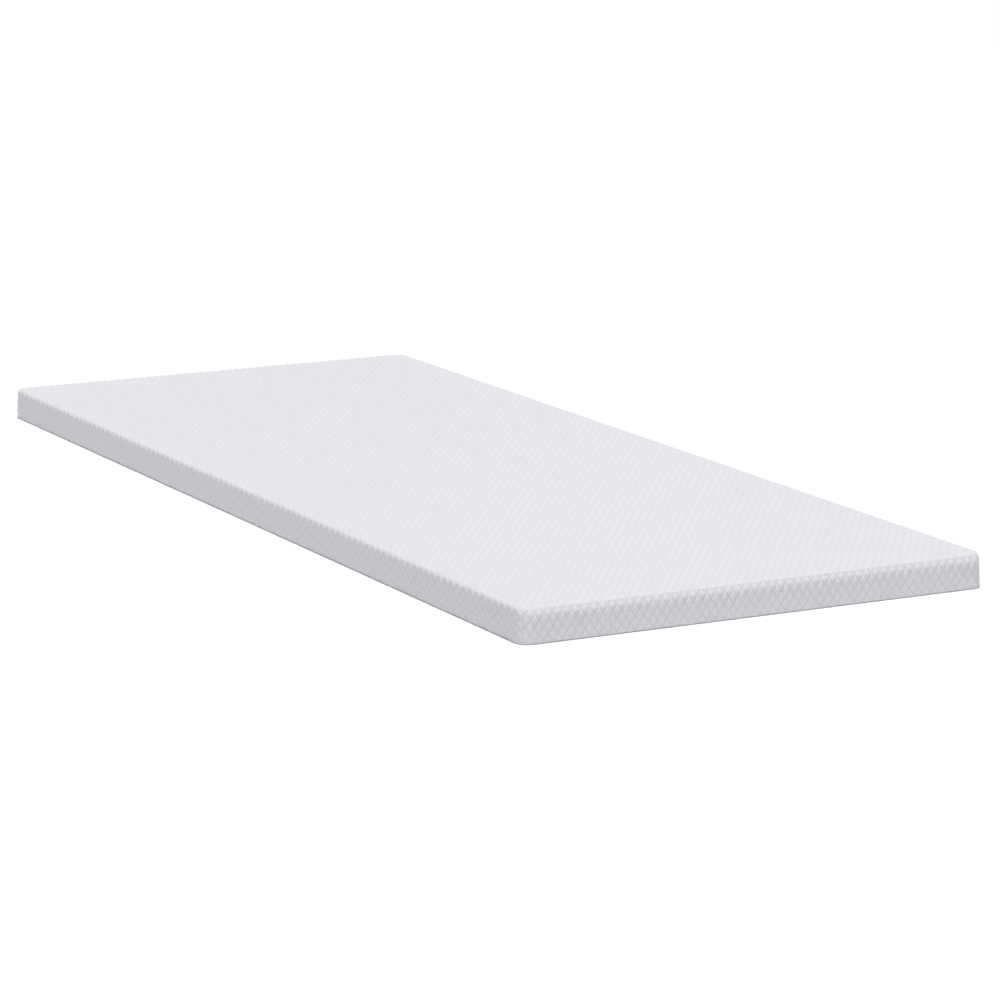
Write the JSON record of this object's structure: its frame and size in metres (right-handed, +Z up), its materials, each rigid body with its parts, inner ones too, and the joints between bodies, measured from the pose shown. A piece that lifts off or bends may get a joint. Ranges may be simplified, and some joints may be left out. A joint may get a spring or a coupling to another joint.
{
  "type": "memory foam mattress",
  "caption": "Thin single mattress: memory foam on a support foam base, in a white diamond-quilted cover with a long side zip.",
  "frame": {"origin": "centre of the underside, where the mattress rests", "axes": "+Z up, +Y along the length towards the rear end, +X across the width towards the zip side"},
  "size_m": [0.8, 2.0005, 0.055],
  "materials": {
    "quilted_knit": "cool white knit cloth, quilted in small diamonds, matt",
    "wadding": "loose white polyester fibre",
    "liner_knit": "thin plain stockinette",
    "memory_foam": "open-cell slow-recovery foam, off-white, matt",
    "support_foam": "open-cell resilient foam, pale blue, matt",
    "seam_thread": "twisted polyester sewing thread and seam allowance, light grey-white",
    "zip_tape": "woven white tape",
    "zip_coil": "white nylon coil",
    "zip_metal": "white lacquered die-cast zinc",
    "label_satin": "plain white satin ribbon, blank"
  },
  "bodies": {
    "mattress": {"memory_foam_layer": "memory_foam", "support_foam_layer": "support_foam", "inner_liner": "liner_knit", "main_panel_face": "quilted_knit", "main_panel_wadding": "wadding", "front_panel_face": "quilted_knit", "front_panel_wadding": "wadding", "rear_panel_face": "quilted_knit", "rear_panel_wadding": "wadding", "bottom_panel_face": "quilted_knit", "bottom_panel_wadding": "wadding", "front_end_seam": "seam_thread", "rear_end_seam": "seam_thread", "bottom_seam": "seam_thread", "zip_tape_upper": "zip_tape", "zip_tape_lower": "zip_tape", "zip_coil_upper": "zip_coil", "zip_coil_lower": "zip_coil", "zip_top_stops": "zip_metal", "zip_bottom_stop": "zip_metal", "care_label": "label_satin"},
    "zip_slider": {"zip_slider": "zip_metal"},
    "zip_pull_tab": {"zip_pull_tab": "zip_metal"}
  },
  "joints": [
    {"name": "zip_slide", "type": "slide", "parent": "mattress", "child": "zip_slider", "axis": [0, 1, 0], "range_m": [0, 1.86]},
    {"name": "pull_tab_swing", "type": "hinge", "parent": "zip_slider", "child": "zip_pull_tab", "pos_m": [0.3981, -0.93, 0.013], "axis": [0, 0, -1], "range_deg": [0, 180]}
  ]
}
